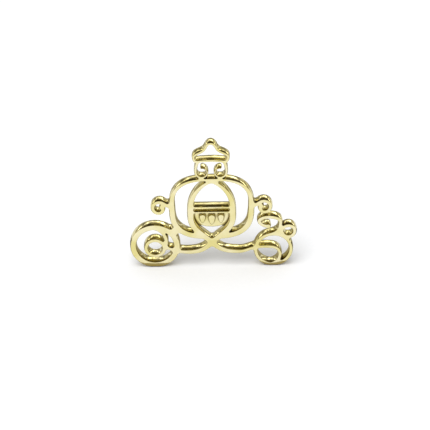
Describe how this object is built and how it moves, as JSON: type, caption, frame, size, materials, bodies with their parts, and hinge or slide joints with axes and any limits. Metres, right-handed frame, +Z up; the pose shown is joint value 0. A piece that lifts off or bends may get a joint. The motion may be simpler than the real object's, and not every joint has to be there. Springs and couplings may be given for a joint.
{
  "type": "coach ornament",
  "caption": "Openwork coach ornament cast in one flat piece: scrolled wheels, oval body with an arched door, and a crown on its roof; stands on its wheels.",
  "frame": {"origin": "on the surface it stands on, under the middle of its width and thickness", "axes": "+X along the width towards the front wheel, +Y through the thickness from the front face to the back, +Z up"},
  "size_m": [0.0602, 0.004, 0.051],
  "materials": {
    "gold_plate": "bright gold plating over a polished brass casting"
  },
  "bodies": {
    "root": {"coach": "gold_plate"}
  },
  "joints": []
}
